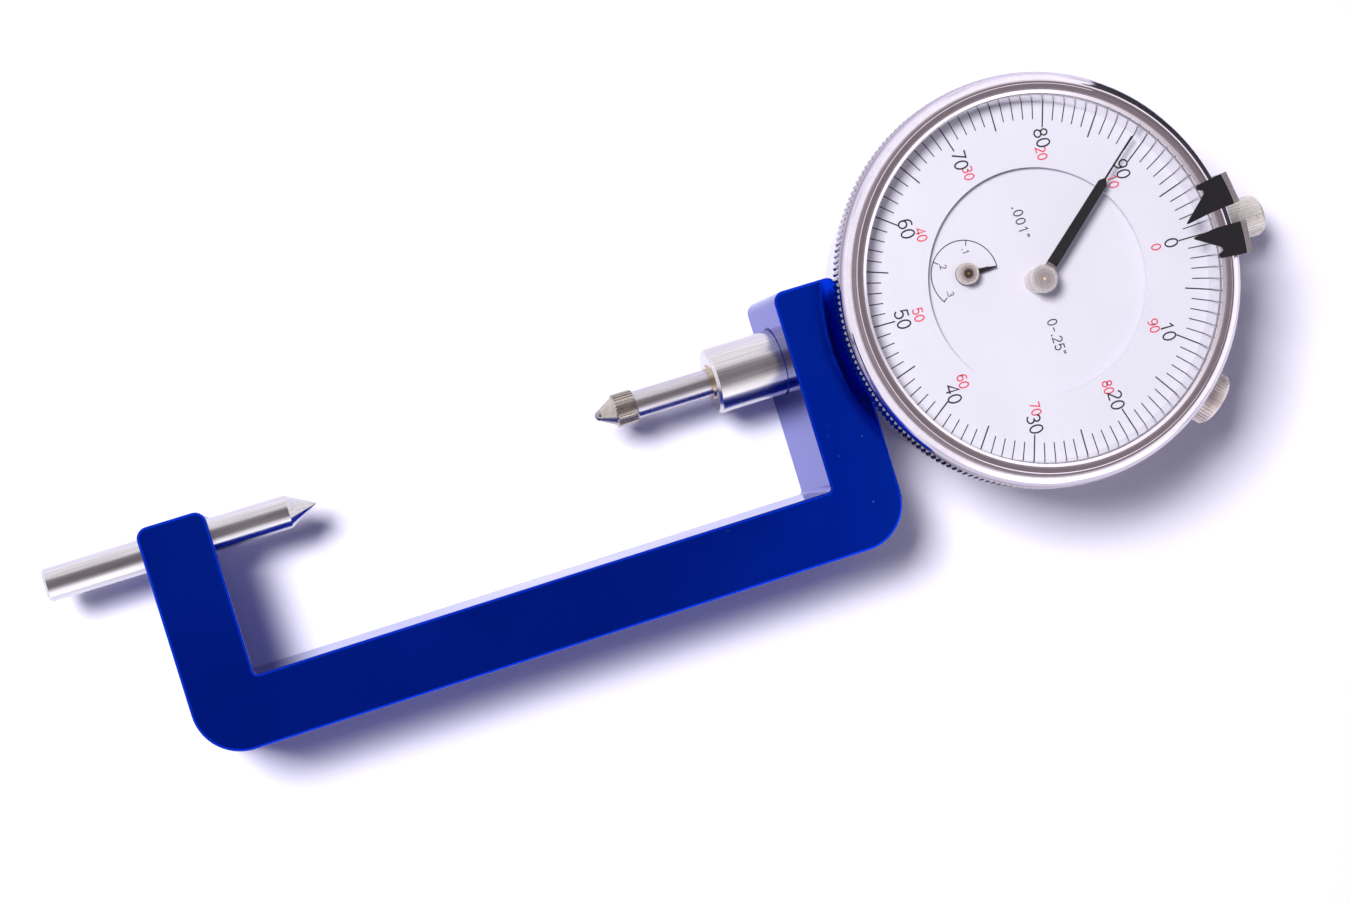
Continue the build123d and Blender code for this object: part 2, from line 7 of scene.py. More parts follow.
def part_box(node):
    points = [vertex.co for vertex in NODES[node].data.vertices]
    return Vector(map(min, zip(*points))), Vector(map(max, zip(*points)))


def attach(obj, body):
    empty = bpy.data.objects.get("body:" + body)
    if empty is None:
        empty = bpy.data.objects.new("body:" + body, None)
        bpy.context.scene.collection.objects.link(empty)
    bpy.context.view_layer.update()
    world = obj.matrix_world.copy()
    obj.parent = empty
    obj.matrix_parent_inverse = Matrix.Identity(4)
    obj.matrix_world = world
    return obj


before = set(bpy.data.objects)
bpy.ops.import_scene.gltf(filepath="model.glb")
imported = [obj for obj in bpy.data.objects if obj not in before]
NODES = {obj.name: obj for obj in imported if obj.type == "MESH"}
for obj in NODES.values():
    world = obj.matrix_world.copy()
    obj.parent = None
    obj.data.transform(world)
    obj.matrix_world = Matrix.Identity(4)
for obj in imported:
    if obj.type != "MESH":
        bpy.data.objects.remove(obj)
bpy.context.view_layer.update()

MM = 0.001


# ---------------------------------------------------------------- node helpers
def material(name):
    m = bpy.data.materials.new(name)
    m.use_nodes = True
    nt = m.node_tree
    nt.nodes.clear()
    out = nt.nodes.new("ShaderNodeOutputMaterial")
    b = nt.nodes.new("ShaderNodeBsdfPrincipled")
    nt.links.new(b.outputs[0], out.inputs[0])
    return m, nt, b, out


def coords(nt, scale=(1, 1, 1), loc=(0, 0, 0), rot=(0, 0, 0)):
    tc = nt.nodes.new("ShaderNodeTexCoord")
    mp = nt.nodes.new("ShaderNodeMapping")
    mp.inputs["Scale"].default_value = scale
    mp.inputs["Location"].default_value = loc
    mp.inputs["Rotation"].default_value = rot
    nt.links.new(tc.outputs["Object"], mp.inputs["Vector"])
    return mp.outputs[0]


def noise(nt, vec, scale, detail=4, rough=0.55):
    n = nt.nodes.new("ShaderNodeTexNoise")
    n.inputs["Scale"].default_value = scale
    n.inputs["Detail"].default_value = detail
    n.inputs["Roughness"].default_value = rough
    nt.links.new(vec, n.inputs["Vector"])
    return n.outputs["Fac"]


def ramp(nt, fac, stops):
    r = nt.nodes.new("ShaderNodeValToRGB")
    el = r.color_ramp.elements
    while len(el) < len(stops):
        el.new(0.5)
    for e, (p, c) in zip(el, stops):
        e.position = p
        e.color = c if len(c) == 4 else (*c, 1)
    nt.links.new(fac, r.inputs["Fac"])
    return r.outputs["Color"]


def to_range(nt, fac, lo, hi, a=0.0, b=1.0):
    r = nt.nodes.new("ShaderNodeMapRange")
    r.inputs["From Min"].default_value = a
    r.inputs["From Max"].default_value = b
    r.inputs["To Min"].default_value = lo
    r.inputs["To Max"].default_value = hi
    nt.links.new(fac, r.inputs["Value"])
    return r.outputs[0]


def bump(nt, b, height, strength=0.1, dist=0.00002):
    n = nt.nodes.new("ShaderNodeBump")
    n.inputs["Strength"].default_value = strength
    n.inputs["Distance"].default_value = dist
    nt.links.new(height, n.inputs["Height"])
    nt.links.new(n.outputs[0], b.inputs["Normal"])


def turned(nt, axis, centre, freq):
    """Rings about an axis: the fine marks that a lathe leaves. centre in metres."""
    tc = nt.nodes.new("ShaderNodeTexCoord")
    mp = nt.nodes.new("ShaderNodeMapping")
    mp.inputs["Location"].default_value = tuple(-c for c in centre)
    nt.links.new(tc.outputs["Object"], mp.inputs["Vector"])
    sc = nt.nodes.new("ShaderNodeMapping")
    sc.inputs["Scale"].default_value = {"z": (1, 1, 0), "x": (0, 1, 1)}[axis]
    nt.links.new(mp.outputs[0], sc.inputs["Vector"])
    ln = nt.nodes.new("ShaderNodeVectorMath")
    ln.operation = "LENGTH"
    nt.links.new(sc.outputs[0], ln.inputs[0])
    cb = nt.nodes.new("ShaderNodeCombineXYZ")
    nt.links.new(ln.outputs["Value"], cb.inputs[0])
    return noise(nt, cb.outputs[0], freq, 3, 0.6)


def axis_distance(nt, centre):
    """Distance from a vertical axis through centre, in metres."""
    tc = nt.nodes.new("ShaderNodeTexCoord")
    sub = nt.nodes.new("ShaderNodeVectorMath"); sub.operation = "SUBTRACT"
    nt.links.new(tc.outputs["Object"], sub.inputs[0])
    sub.inputs[1].default_value = (centre.x, centre.y, 0)
    flat = nt.nodes.new("ShaderNodeVectorMath"); flat.operation = "MULTIPLY"
    nt.links.new(sub.outputs[0], flat.inputs[0])
    flat.inputs[1].default_value = (1, 1, 0)
    ln = nt.nodes.new("ShaderNodeVectorMath"); ln.operation = "LENGTH"
    nt.links.new(flat.outputs[0], ln.inputs[0])
    return ln.outputs["Value"]


def metal(name, lo, hi, rough, stretch=(1, 1, 1), scale=700, marks=None, bump_s=0.08, aniso=0.0, spots=None, metallic=1.0, bands=None):
    m, nt, b, out = material(name)
    b.inputs["Metallic"].default_value = metallic
    b.inputs["Anisotropic"].default_value = aniso
    v = coords(nt, stretch)
    fine = noise(nt, v, scale, 5, 0.6)
    cloud = noise(nt, coords(nt), 90, 3, 0.5)
    col = ramp(nt, fine, [(0.30, lo), (0.72, hi)])
    if spots:
        mx = nt.nodes.new("ShaderNodeMix")
        mx.data_type = "RGBA"
        sp = to_range(nt, noise(nt, coords(nt), 620, 2, 0.5), 0, 0.6, 0.66, 0.74)
        nt.links.new(sp, mx.inputs[0])
        nt.links.new(col, mx.inputs[6])
        mx.inputs[7].default_value = (*spots, 1)
        col = mx.outputs[2]
    if bands:
        # rings of tint about an axis: radius in mm against a tint multiplier; on the chrome bezel they are painted
        # reflection and painted shade
        centre, span, rows = bands
        r = axis_distance(nt, centre)
        tint = ramp(nt, to_range(nt, r, 0, 1, 0, span * MM), [(q / span, t) for q, t in rows])
        mb = nt.nodes.new("ShaderNodeMix")
        mb.data_type = "RGBA"
        mb.blend_type = "MULTIPLY"
        mb.inputs[0].default_value = 1.0
        nt.links.new(col, mb.inputs[6])
        nt.links.new(tint, mb.inputs[7])
        col = mb.outputs[2]
    nt.links.new(col, b.inputs["Base Color"])
    r0 = to_range(nt, cloud, rough[0], rough[1], 0.35, 0.65)
    nt.links.new(r0, b.inputs["Roughness"])
    bump(nt, b, marks(nt) if marks else fine, bump_s)
    return m


# ---------------------------------------------------------------- materials
FRAME_X1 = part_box("frame")[1].x


def blue_anodised():
    m, nt, b, out = material("blue_anodised")
    b.inputs["Metallic"].default_value = 1.0
    cloud = noise(nt, coords(nt), 30, 4, 0.55)
    # drawn-bar grain along the spine, hardly seen under the dye
    grain = noise(nt, coords(nt, (0.04, 1.0, 1.0)), 2600, 4, 0.6)
    base = ramp(nt, cloud, [(0.30, (0.0008, 0.0210, 0.410)), (0.70, (0.0012, 0.0300, 0.500))])
    # pin-prick specks in the dye
    vo = nt.nodes.new("ShaderNodeTexVoronoi")
    vo.inputs["Scale"].default_value = 360
    nt.links.new(coords(nt), vo.inputs["Vector"])
    speck = to_range(nt, vo.outputs["Distance"], 1, 0, 0.028, 0.046)
    pick = to_range(nt, noise(nt, coords(nt), 95, 1, 0.5), 0, 1, 0.58, 0.60)
    mul = nt.nodes.new("ShaderNodeMath"); mul.operation = "MULTIPLY"
    nt.links.new(speck, mul.inputs[0]); nt.links.new(pick, mul.inputs[1])
    mx = nt.nodes.new("ShaderNodeMix"); mx.data_type = "RGBA"
    nt.links.new(mul.outputs[0], mx.inputs[0])
    nt.links.new(base, mx.inputs[6])
    mx.inputs[7].default_value = (0.16, 0.26, 0.62, 1)
    # painted sheen: the dye colour is scaled by face direction, 0.76 on walls and 1.62 on up-facing faces, rising to
    # 2.45 over the last 30 mm of the frame's end as a painted reflection streak
    geo = nt.nodes.new("ShaderNodeNewGeometry")
    sn = nt.nodes.new("ShaderNodeSeparateXYZ")
    nt.links.new(geo.outputs["Normal"], sn.inputs[0])
    up = to_range(nt, sn.outputs["Z"], 0, 1, 0.80, 0.98)
    so = nt.nodes.new("ShaderNodeSeparateXYZ")
    nt.links.new(coords(nt), so.inputs[0])
    end = to_range(nt, so.outputs["X"], 1.62, 2.45, FRAME_X1 - 0.030, FRAME_X1 - 0.004)
    painted_sheen_gain = nt.nodes.new("ShaderNodeMix"); painted_sheen_gain.data_type = "FLOAT"
    nt.links.new(up, painted_sheen_gain.inputs[0])
    painted_sheen_gain.inputs[2].default_value = 0.76
    nt.links.new(end, painted_sheen_gain.inputs[3])
    dye_and_painted_sheen = nt.nodes.new("ShaderNodeVectorMath"); dye_and_painted_sheen.operation = "SCALE"
    nt.links.new(mx.outputs[2], dye_and_painted_sheen.inputs[0])
    nt.links.new(painted_sheen_gain.outputs[0], dye_and_painted_sheen.inputs["Scale"])
    nt.links.new(dye_and_painted_sheen.outputs[0], b.inputs["Base Color"])
    nt.links.new(to_range(nt, cloud, 0.13, 0.19, 0.35, 0.65), b.inputs["Roughness"])
    bump(nt, b, grain, 0.05, 0.00001)
    return m


def black_clip(name, centre=None, radius=0.0, outside=True):
    """Matt black with fine specks. With a radius, the part outside or inside it is bare metal."""
    m, nt, b, out = material(name)
    b.inputs["IOR"].default_value = 1.45
    fine = noise(nt, coords(nt), 5200, 4, 0.6)
    col = ramp(nt, fine, [(0.35, (0.0024, 0.0022, 0.0030)), (0.66, (0.0070, 0.0062, 0.0078)), (0.76, (0.050, 0.044, 0.050))])
    rough = to_range(nt, noise(nt, coords(nt), 400, 3), 0.46, 0.66, 0.35, 0.65)
    if centre is not None:
        tc = nt.nodes.new("ShaderNodeTexCoord")
        mp = nt.nodes.new("ShaderNodeMapping")
        mp.inputs["Location"].default_value = (-centre.x, -centre.y, 0)
        nt.links.new(tc.outputs["Object"], mp.inputs["Vector"])
        sc = nt.nodes.new("ShaderNodeMapping")
        sc.inputs["Scale"].default_value = (1, 1, 0)
        nt.links.new(mp.outputs[0], sc.inputs["Vector"])
        ln = nt.nodes.new("ShaderNodeVectorMath"); ln.operation = "LENGTH"
        nt.links.new(sc.outputs[0], ln.inputs[0])
        e = 0.00006 if outside else -0.00006
        f = to_range(nt, ln.outputs["Value"], 0, 1, radius - e, radius + e)
        bare = ramp(nt, fine, [(0.3, (0.46, 0.43, 0.42)), (0.7, (0.68, 0.65, 0.64))])
        mx = nt.nodes.new("ShaderNodeMix"); mx.data_type = "RGBA"
        nt.links.new(f, mx.inputs[0]); nt.links.new(col, mx.inputs[6]); nt.links.new(bare, mx.inputs[7])
        col = mx.outputs[2]
        nt.links.new(f, b.inputs["Metallic"])
        rr = nt.nodes.new("ShaderNodeMix"); rr.data_type = "FLOAT"
        nt.links.new(f, rr.inputs[0]); nt.links.new(rough, rr.inputs[2]); rr.inputs[3].default_value = 0.26
        rough = rr.outputs[0]
    nt.links.new(col, b.inputs["Base Color"])
    nt.links.new(rough, b.inputs["Roughness"])
    bump(nt, b, fine, 0.22, 0.00002)
    return m


def dial_white(name, lo, hi):
    m, nt, b, out = material(name)
    b.inputs["IOR"].default_value = 1.45
    b.inputs["Coat Weight"].default_value = 0.15
    b.inputs["Coat Roughness"].default_value = 0.25
    soft = noise(nt, coords(nt), 70, 3, 0.5)
    fine = noise(nt, coords(nt), 6000, 3, 0.6)
    nt.links.new(ramp(nt, soft, [(0.3, lo), (0.7, hi)]), b.inputs["Base Color"])
    nt.links.new(to_range(nt, soft, 0.42, 0.55, 0.35, 0.65), b.inputs["Roughness"])
    bump(nt, b, fine, 0.06, 0.00001)
    return m


def ink(name, lo, hi):
    m, nt, b, out = material(name)
    b.inputs["IOR"].default_value = 1.45
    fine = noise(nt, coords(nt), 4200, 3, 0.6)
    nt.links.new(ramp(nt, fine, [(0.3, lo), (0.7, hi)]), b.inputs["Base Color"])
    nt.links.new(to_range(nt, fine, 0.40, 0.60, 0.3, 0.7), b.inputs["Roughness"])
    return m


def crystal_mat():
    m, nt, b, out = material("crystal")
    nt.nodes.remove(b)
    tr = nt.nodes.new("ShaderNodeBsdfTransparent")
    gl = nt.nodes.new("ShaderNodeBsdfPrincipled")
    gl.inputs["Base Color"].default_value = (0.92, 0.92, 0.96, 1)
    gl.inputs["Metallic"].default_value = 1.0
    nt.links.new(to_range(nt, noise(nt, coords(nt), 60, 2), 0.03, 0.06, 0.3, 0.7), gl.inputs["Roughness"])
    fr = nt.nodes.new("ShaderNodeFresnel")
    fr.inputs["IOR"].default_value = 1.46
    mx = nt.nodes.new("ShaderNodeMixShader")
    sc = nt.nodes.new("ShaderNodeMath"); sc.operation = "MULTIPLY"
    sc.inputs[1].default_value = 0.6
    nt.links.new(fr.outputs[0], sc.inputs[0])
    nt.links.new(sc.outputs[0], mx.inputs[0])
    nt.links.new(tr.outputs[0], mx.inputs[1])
    nt.links.new(gl.outputs[0], mx.inputs[2])
    nt.links.new(mx.outputs[0], out.inputs[0])
    return m


def centre_of(node):
    lo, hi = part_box(node)
    return (lo + hi) / 2


DIAL = centre_of("inner_dial")
X_AXIS = Vector((0, 0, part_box("anvil_rod")[0].z + (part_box("anvil_rod")[1].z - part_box("anvil_rod")[0].z) / 2))
HUB = centre_of("main_hand_hub")
SUB = centre_of("counter_hand_hub")

M = {
    "blue": blue_anodised(),
    "ground": metal("ground_steel", (0.50, 0.49, 0.50), (0.66, 0.65, 0.65), (0.13, 0.22), (0.04, 1, 1), 2600,
                    marks=lambda nt: turned(nt, "x", X_AXIS, 9000), bump_s=0.05, aniso=0.3),
    "spindle": metal("spindle_steel", (0.46, 0.44, 0.46), (0.60, 0.58, 0.60), (0.20, 0.30), (0.04, 1, 1), 2600, bump_s=0.06),
    # painted reflection and painted shade: the bands lift the inner cone and the shoulder above the base colour, darken
    # the flat ring, paint a dark shadow line at 28.96 to 29.16 mm and darken the knurled band
    "chrome_bezel": metal("chrome_bezel", (0.78, 0.76, 0.78), (0.86, 0.84, 0.86), (0.06, 0.11), (1, 1, 1), 900,
                          marks=lambda nt: turned(nt, "z", DIAL, 5200), bump_s=0.035,
                          bands=(DIAL, 32, [(0.0, (1.12, 1.09, 1.13)), (26.38, (1.12, 1.09, 1.13)), (26.52, (0.80, 0.73, 0.76)),
                                            (27.40, (0.80, 0.74, 0.77)), (27.54, (1.12, 1.09, 1.13)), (27.90, (1.05, 1.02, 1.07)),
                                            (28.60, (0.80, 0.77, 0.82)), (28.88, (0.62, 0.59, 0.63)), (28.96, (0.30, 0.27, 0.29)),
                                            (29.16, (0.34, 0.32, 0.34)), (29.24, (0.50, 0.48, 0.53)), (31.9, (0.50, 0.48, 0.53))])),
    "chrome_case": metal("chrome_case", (0.60, 0.59, 0.60), (0.70, 0.69, 0.70), (0.12, 0.22), (1, 1, 1), 900, bump_s=0.03),
    "satin": metal("satin_chrome", (0.52, 0.51, 0.50), (0.72, 0.70, 0.69), (0.16, 0.27), (0.03, 1, 1), 2400, bump_s=0.12, aniso=0.3),
    "nickel": metal("nickel_knurl", (0.74, 0.70, 0.66), (0.90, 0.86, 0.82), (0.20, 0.32), (1, 1, 1), 1500, bump_s=0.10, spots=(0.16, 0.14, 0.12), metallic=0.40),
    "nickel_warm": metal("nickel_warm", (0.76, 0.68, 0.64), (0.92, 0.84, 0.80), (0.24, 0.38), (1, 1, 1), 1500, bump_s=0.14, spots=(0.16, 0.12, 0.10), metallic=0.45),
    "hub": metal("hub_nickel", (0.62, 0.59, 0.57), (0.80, 0.77, 0.75), (0.20, 0.34), (1, 1, 1), 2400,
                 marks=lambda nt: turned(nt, "z", HUB, 16000), bump_s=0.35, metallic=0.5,
                 bands=(HUB, 4, [(0.0, (0.66, 0.615, 0.64)), (1.36, (0.70, 0.655, 0.68)), (1.48, (0.90, 0.88, 0.90)), (3.9, (0.90, 0.88, 0.90))])),
    "sub_hub": metal("sub_hub_nickel", (0.50, 0.47, 0.45), (0.68, 0.65, 0.63), (0.22, 0.36), (1, 1, 1), 2400,
                     marks=lambda nt: turned(nt, "z", SUB, 16000), bump_s=0.35, metallic=0.55,
                     bands=(SUB, 4, [(0.0, (0.78, 0.70, 0.66)), (1.10, (0.80, 0.73, 0.70)), (1.22, (1.2, 1.16, 1.14)), (3.9, (1.2, 1.16, 1.14))])),
    "contact": metal("contact_steel", (0.40, 0.36, 0.31), (0.56, 0.52, 0.46), (0.20, 0.30), (1, 1, 1), 1800, bump_s=0.10, spots=(0.15, 0.12, 0.09)),
    "brass": metal("brass", (0.48, 0.32, 0.12), (0.66, 0.47, 0.20), (0.20, 0.34), (1, 1, 1), 1500, bump_s=0.10, spots=(0.22, 0.13, 0.05)),
    "bush": metal("bush_brass", (0.60, 0.47, 0.30), (0.78, 0.66, 0.48), (0.16, 0.28), (1, 1, 1), 1500, bump_s=0.08),
    "carbide": metal("carbide", (0.26, 0.26, 0.28), (0.40, 0.40, 0.42), (0.10, 0.16), (1, 1, 1), 3000, bump_s=0.03),
    "spring": metal("spring_steel", (0.20, 0.21, 0.25), (0.42, 0.42, 0.44), (0.18, 0.30), (1, 1, 1), 2600, bump_s=0.05),
    "black_steel": metal("black_steel", (0.018, 0.018, 0.020), (0.045, 0.045, 0.050), (0.34, 0.50), (1, 1, 1), 2200, bump_s=0.16, spots=(0.10, 0.08, 0.07)),
    "ring_white": dial_white("ring_white", (0.640, 0.633, 0.712), (0.664, 0.657, 0.736)),
    "disc_white": dial_white("disc_white", (0.640, 0.633, 0.712), (0.664, 0.657, 0.736)),
    "clip": black_clip("black_clip", DIAL, 29.46 * MM),
    "hand": black_clip("black_hand", DIAL, 2.55 * MM, outside=False),
    "sub_hand": black_clip("black_sub_hand", SUB, 1.2 * MM, outside=False),
    "crystal": crystal_mat(),
    "ink_black": ink("ink_black", (0.006, 0.006, 0.009), (0.018, 0.018, 0.022)),
    "ink_red": ink("ink_red", (0.60, 0.030, 0.075), (0.74, 0.055, 0.110)),
    "pin": metal("pin_end", (0.62, 0.58, 0.56), (0.80, 0.76, 0.74), (0.14, 0.26), (1, 1, 1), 3000, bump_s=0.18, metallic=0.5,
                 bands=(HUB, 4, [(0.0, (1.6, 1.30, 0.75)), (0.19, (1.6, 1.30, 0.75)), (0.27, (0.42, 0.36, 0.34)), (0.36, (0.66, 0.615, 0.64)), (3.9, (0.66, 0.615, 0.64))])),
    "sub_pin": metal("sub_pin_end", (0.58, 0.53, 0.50), (0.74, 0.69, 0.66), (0.14, 0.26), (1, 1, 1), 3000, bump_s=0.18,
                     bands=(SUB, 4, [(0.0, (1.2, 0.80, 0.36)), (0.16, (1.2, 0.80, 0.36)), (0.24, (0.20, 0.15, 0.12)),
                                     (0.48, (0.26, 0.20, 0.17)), (0.62, (0.74, 0.66, 0.62)), (3.9, (0.74, 0.66, 0.62))])),
    "inner_wall": metal("inner_wall", (0.86, 0.85, 0.88), (0.94, 0.93, 0.96), (0.16, 0.26), (1, 1, 1), 1200,
                        marks=lambda nt: turned(nt, "z", DIAL, 5200), bump_s=0.05),
    "bare": metal("bare_steel", (0.50, 0.49, 0.48), (0.70, 0.68, 0.66), (0.22, 0.36), (1, 1, 1), 2600, bump_s=0.10),
}

BY_NODE = {
    "frame": "blue", "anvil_rod": "ground", "stem": "satin", "stem_bushing": "bush", "upper_bushing": "satin",
    "case": "chrome_case", "back_cover": "chrome_case", "bezel": "chrome_bezel", "bezel_retaining_ring": "spring",
    "dial_ring": "ring_white", "inner_dial": "disc_white", "crystal": "crystal", "crystal_spacer": "inner_wall",
    "spindle": "spindle", "contact_point": "contact", "contact_ball": "carbide", "lifting_cap": "nickel",
    "bezel_clamp_screw": "nickel_warm", "bezel_clamp_bracket": "satin", "main_hand": "hand", "counter_hand": "sub_hand",
    "main_hand_hub": "hub", "counter_hand_hub": "sub_hub", "main_hand_collet": "brass", "tolerance_hand_a": "clip",
    "tolerance_hand_b": "clip", "stem_lock_screw": "black_steel", "anvil_lock_screw": "black_steel",
    "lower_plate": "brass", "pinion_cock": "brass", "counter_wheel": "brass", "takeup_wheel": "brass",
    "hairspring": "spring", "return_spring": "spring", "hairspring_collet": "brass", "hairspring_stud": "brass",
    "guide_block": "brass", "spring_collar": "ground", "guide_pin": "ground", "counter_arbor": "sub_pin",
    "centre_arbor": "pin", "takeup_arbor": "ground",
}
for n, o in NODES.items():
    key = BY_NODE.get(n)
    if key is None:
        key = "ground"
        if "screw" in n:
            key = "black_steel" if n.startswith("back") else "ground"
        if "pillar" in n:
            key = "brass"
    o.data.materials.clear()
    o.data.materials.append(M[key])

# ---------------------------------------------------------------- dial graphics
CX, CY = DIAL.x, DIAL.y
Z_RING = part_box("dial_ring")[1].z
Z_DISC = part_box("inner_dial")[1].z
INK = 0.012 * MM
DELTA = -1.13


def piece(name, bm, mat, body):
    me = bpy.data.meshes.new(name)
    bm.to_mesh(me)
    bm.free()
    o = bpy.data.objects.new(name, me)
    bpy.context.scene.collection.objects.link(o)
    me.materials.append(mat)
    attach(o, body)
    return o


def washer(bm, cx, cy, r0, r1, z0, z1, n=72):
    """Flat ring, closed on all sides."""
    loops = []
    for r, z in ((r0, z0), (r1, z0), (r1, z1), (r0, z1)):
        loops.append([bm.verts.new((cx + r * math.cos(2 * math.pi * k / n), cy + r * math.sin(2 * math.pi * k / n), z)) for k in range(n)])
    for q in range(4):
        a, c = loops[q], loops[(q + 1) % 4]
        for k in range(n):
            j = (k + 1) % n
            bm.faces.new((a[k], a[j], c[j], c[k]))
    bmesh.ops.recalc_face_normals(bm, faces=bm.faces)


def prism(bm, pts, z0, z1):
    lo = [bm.verts.new((x, y, z0)) for x, y in pts]
    hi = [bm.verts.new((x, y, z1)) for x, y in pts]
    bm.faces.new(hi)
    bm.faces.new(lo[::-1])
    n = len(pts)
    for i in range(n):
        j = (i + 1) % n
        bm.faces.new((lo[i], lo[j], hi[j], hi[i]))


def radial_bar(bm, ang, r0, r1, w, z):
    a = math.radians(ang)
    u = (math.cos(a), math.sin(a)); v = (-u[1], u[0])
    pts = [(CX + u[0] * r + v[0] * s, CY + u[1] * r + v[1] * s)
           for r, s in ((r0, -w / 2), (r1, -w / 2), (r1, w / 2), (r0, w / 2))]
    prism(bm, pts, z, z + INK)


R10 = 21.60 * MM
R_OUT = 25.55 * MM
bm = bmesh.new()
for v in range(100):
    big = v % 5 == 0
    r0 = R10 if v % 10 == 0 else (R10 * 1.004 if big else R10 * 1.052)
    radial_bar(bm, -3.6 * v + DELTA, r0, R_OUT, (0.190 if big else 0.150) * MM, Z_RING)
piece("ring_graduations", bm, M["ink_black"], "bezel")


def stroke(bm, pts, w, z, closed=False):
    """A pen line of constant width through pts, as one thin closed strip with mitred corners and flat ends."""
    n = len(pts)
    left, right = [], []
    for i in range(n):
        a = Vector(pts[(i - 1) % n]) if (i > 0 or closed) else None
        b = Vector(pts[i])
        c = Vector(pts[(i + 1) % n]) if (i < n - 1 or closed) else None
        d1 = (b - a).normalized() if a is not None else (c - b).normalized()
        d2 = (c - b).normalized() if c is not None else (b - a).normalized()
        t = (d1 + d2)
        t = t.normalized() if t.length > 1e-6 else d1
        nrm = Vector((-t.y, t.x))
        k = 1 / max(0.5, nrm.dot(Vector((-d1.y, d1.x))))
        left.append(b + nrm * (w / 2) * k)
        right.append(b - nrm * (w / 2) * k)
    m = n if closed else n - 1
    rows = [[bm.verts.new((p.x, p.y, zz)) for p in side] for side in (left, right) for zz in (z, z + INK)]
    l0, l1, r0_, r1_ = rows
    for i in range(m):
        j = (i + 1) % n
        bm.faces.new((r1_[i], r1_[j], l1[j], l1[i]))
        bm.faces.new((l0[i], l0[j], r0_[j], r0_[i]))
        bm.faces.new((l1[i], l1[j], l0[j], l0[i]))
        bm.faces.new((r0_[i], r0_[j], r1_[j], r1_[i]))
    if not closed:
        bm.faces.new((l0[0], r0_[0], r1_[0], l1[0]))
        bm.faces.new((l1[-1], r1_[-1], r0_[-1], l0[-1]))


def arc(cx, cy, rx, ry, a0, a1, n=14):
    return [(cx + rx * math.cos(math.radians(a0 + (a1 - a0) * i / n)),
             cy + ry * math.sin(math.radians(a0 + (a1 - a0) * i / n))) for i in range(n + 1)]


# a plain single-line figure alphabet on a cell 0.62 wide and 1 tall
GLYPH = {
    "0": [(arc(0.29, 0.5, 0.245, 0.455, 0, 360, 28)[:-1], True)],
    "1": [([(0.12, 0.76), (0.34, 0.955), (0.34, 0.045)], False)],
    "2": [(arc(0.29, 0.71, 0.235, 0.245, 165, -28, 14) + [(0.06, 0.045), (0.55, 0.045)], False)],
    "3": [(arc(0.27, 0.735, 0.215, 0.22, 160, -62, 12) + [(0.24, 0.53)], False),
          ([(0.24, 0.53)] + arc(0.27, 0.29, 0.25, 0.245, 68, -155, 14), False)],
    "4": [([(0.44, 0.045), (0.44, 0.955), (0.04, 0.29), (0.58, 0.29)], False)],
    "5": [([(0.50, 0.955), (0.13, 0.955), (0.08, 0.53)] + arc(0.28, 0.335, 0.25, 0.29, 128, -152, 16), False)],
    "6": [(arc(0.35, 0.62, 0.285, 0.335, 62, 172, 10) + arc(0.30, 0.325, 0.245, 0.28, 176, 536, 24), False)],
    "7": [([(0.05, 0.955), (0.54, 0.955), (0.22, 0.045)], False)],
    "8": [(arc(0.29, 0.735, 0.20, 0.22, -90, 270, 22)[:-1], True), (arc(0.29, 0.28, 0.245, 0.235, 90, 450, 24)[:-1], True)],
    "9": [(arc(0.23, 0.38, 0.285, 0.335, 242, 352, 10) + arc(0.28, 0.675, 0.245, 0.28, -4, 356, 24), False)],
    ".": [(arc(0.10, 0.07, 0.028, 0.028, 0, 360, 8)[:-1], True)],
    "-": [([(0.06, 0.46), (0.46, 0.46)], False)],
    '"': [([(0.10, 0.98), (0.08, 0.72)], False), ([(0.27, 0.98), (0.25, 0.72)], False)],
}
ADV = {".": 0.28, "-": 0.60, '"': 0.40, "1": 0.66}


def text(bm, s, pos, h, z, up, w, spacing=0.0, narrow=1.0):
    """Draws s centred on pos (metres), up being the direction of the top of the figures."""
    up = Vector(up).normalized()
    right = Vector((up.y, -up.x))
    adv = [(ADV.get(c, 0.68) + spacing) for c in s]
    total = sum(adv) - spacing - 0.09
    x = -total / 2
    for c, a in zip(s, adv):
        for pts, closed in GLYPH[c]:
            q = []
            for px, py in pts:
                p = Vector(pos) + right * ((x + px) * h * narrow) + up * ((py - 0.5) * h)
                q.append((p.x, p.y))
            stroke(bm, q, w, z, closed)
        x += a


UP = (1, 0)
bk, rd = bmesh.new(), bmesh.new()
for k in range(10):
    v = 10 * k
    a = math.radians(-3.6 * v + DELTA)
    u = (math.cos(a), math.sin(a))
    up = (math.cos(math.radians(DELTA)), math.sin(math.radians(DELTA)))
    s = str(v)
    rb = (20.48 - (0.35 if len(s) > 1 else 0) * abs(u[1])) * MM
    text(bk, s, (CX + u[0] * rb, CY + u[1] * rb), 2.10 * MM, Z_RING, up, 0.225 * MM)
    t = "0" if v == 0 else str(100 - v)
    rr = (18.12 - (0.15 if len(t) > 1 else 0) * abs(u[1])) * MM
    text(rd, t, (CX + u[0] * rr, CY + u[1] * rr), 1.52 * MM, Z_RING, up, 0.19 * MM)
piece("ring_figures_black", bk, M["ink_black"], "bezel")
piece("ring_figures_red", rd, M["ink_red"], "bezel")

